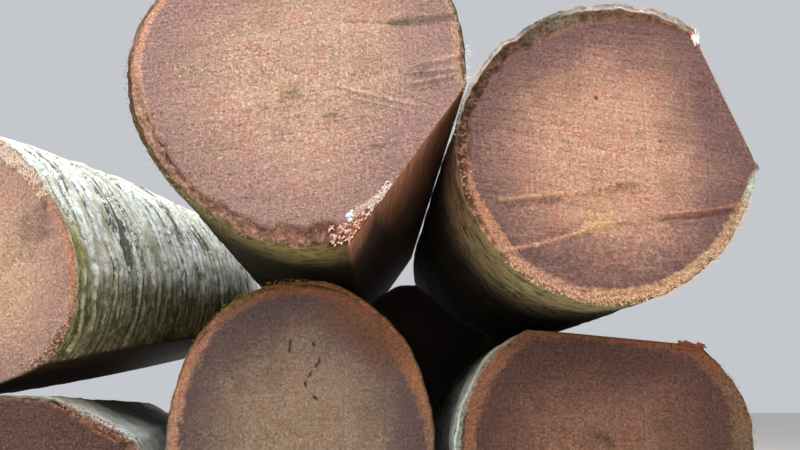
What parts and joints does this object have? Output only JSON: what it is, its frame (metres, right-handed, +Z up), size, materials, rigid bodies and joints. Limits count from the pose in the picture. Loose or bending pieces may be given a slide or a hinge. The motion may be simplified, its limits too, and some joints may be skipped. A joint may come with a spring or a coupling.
{
  "type": "heap of logs",
  "caption": "Heap of short sawn birch logs stacked on their sides, ends facing forward, some with a slab sawn off, peeling bark left on.",
  "frame": {"origin": "on the floor, under the middle of the heap's bounding box", "axes": "+X to the right as the sawn ends are faced, +Y back along the logs, +Z up"},
  "size_m": [0.6684, 0.5838, 0.4304],
  "materials": {
    "birch_log": "rough sawn ends, bark left on"
  },
  "bodies": {
    "root": {"log_top_left": "birch_log", "log_top_right": "birch_log", "log_middle_left": "birch_log", "log_bottom_left": "birch_log", "log_bottom_centre": "birch_log", "log_bottom_right": "birch_log", "hidden_core": "birch_log"}
  },
  "joints": []
}
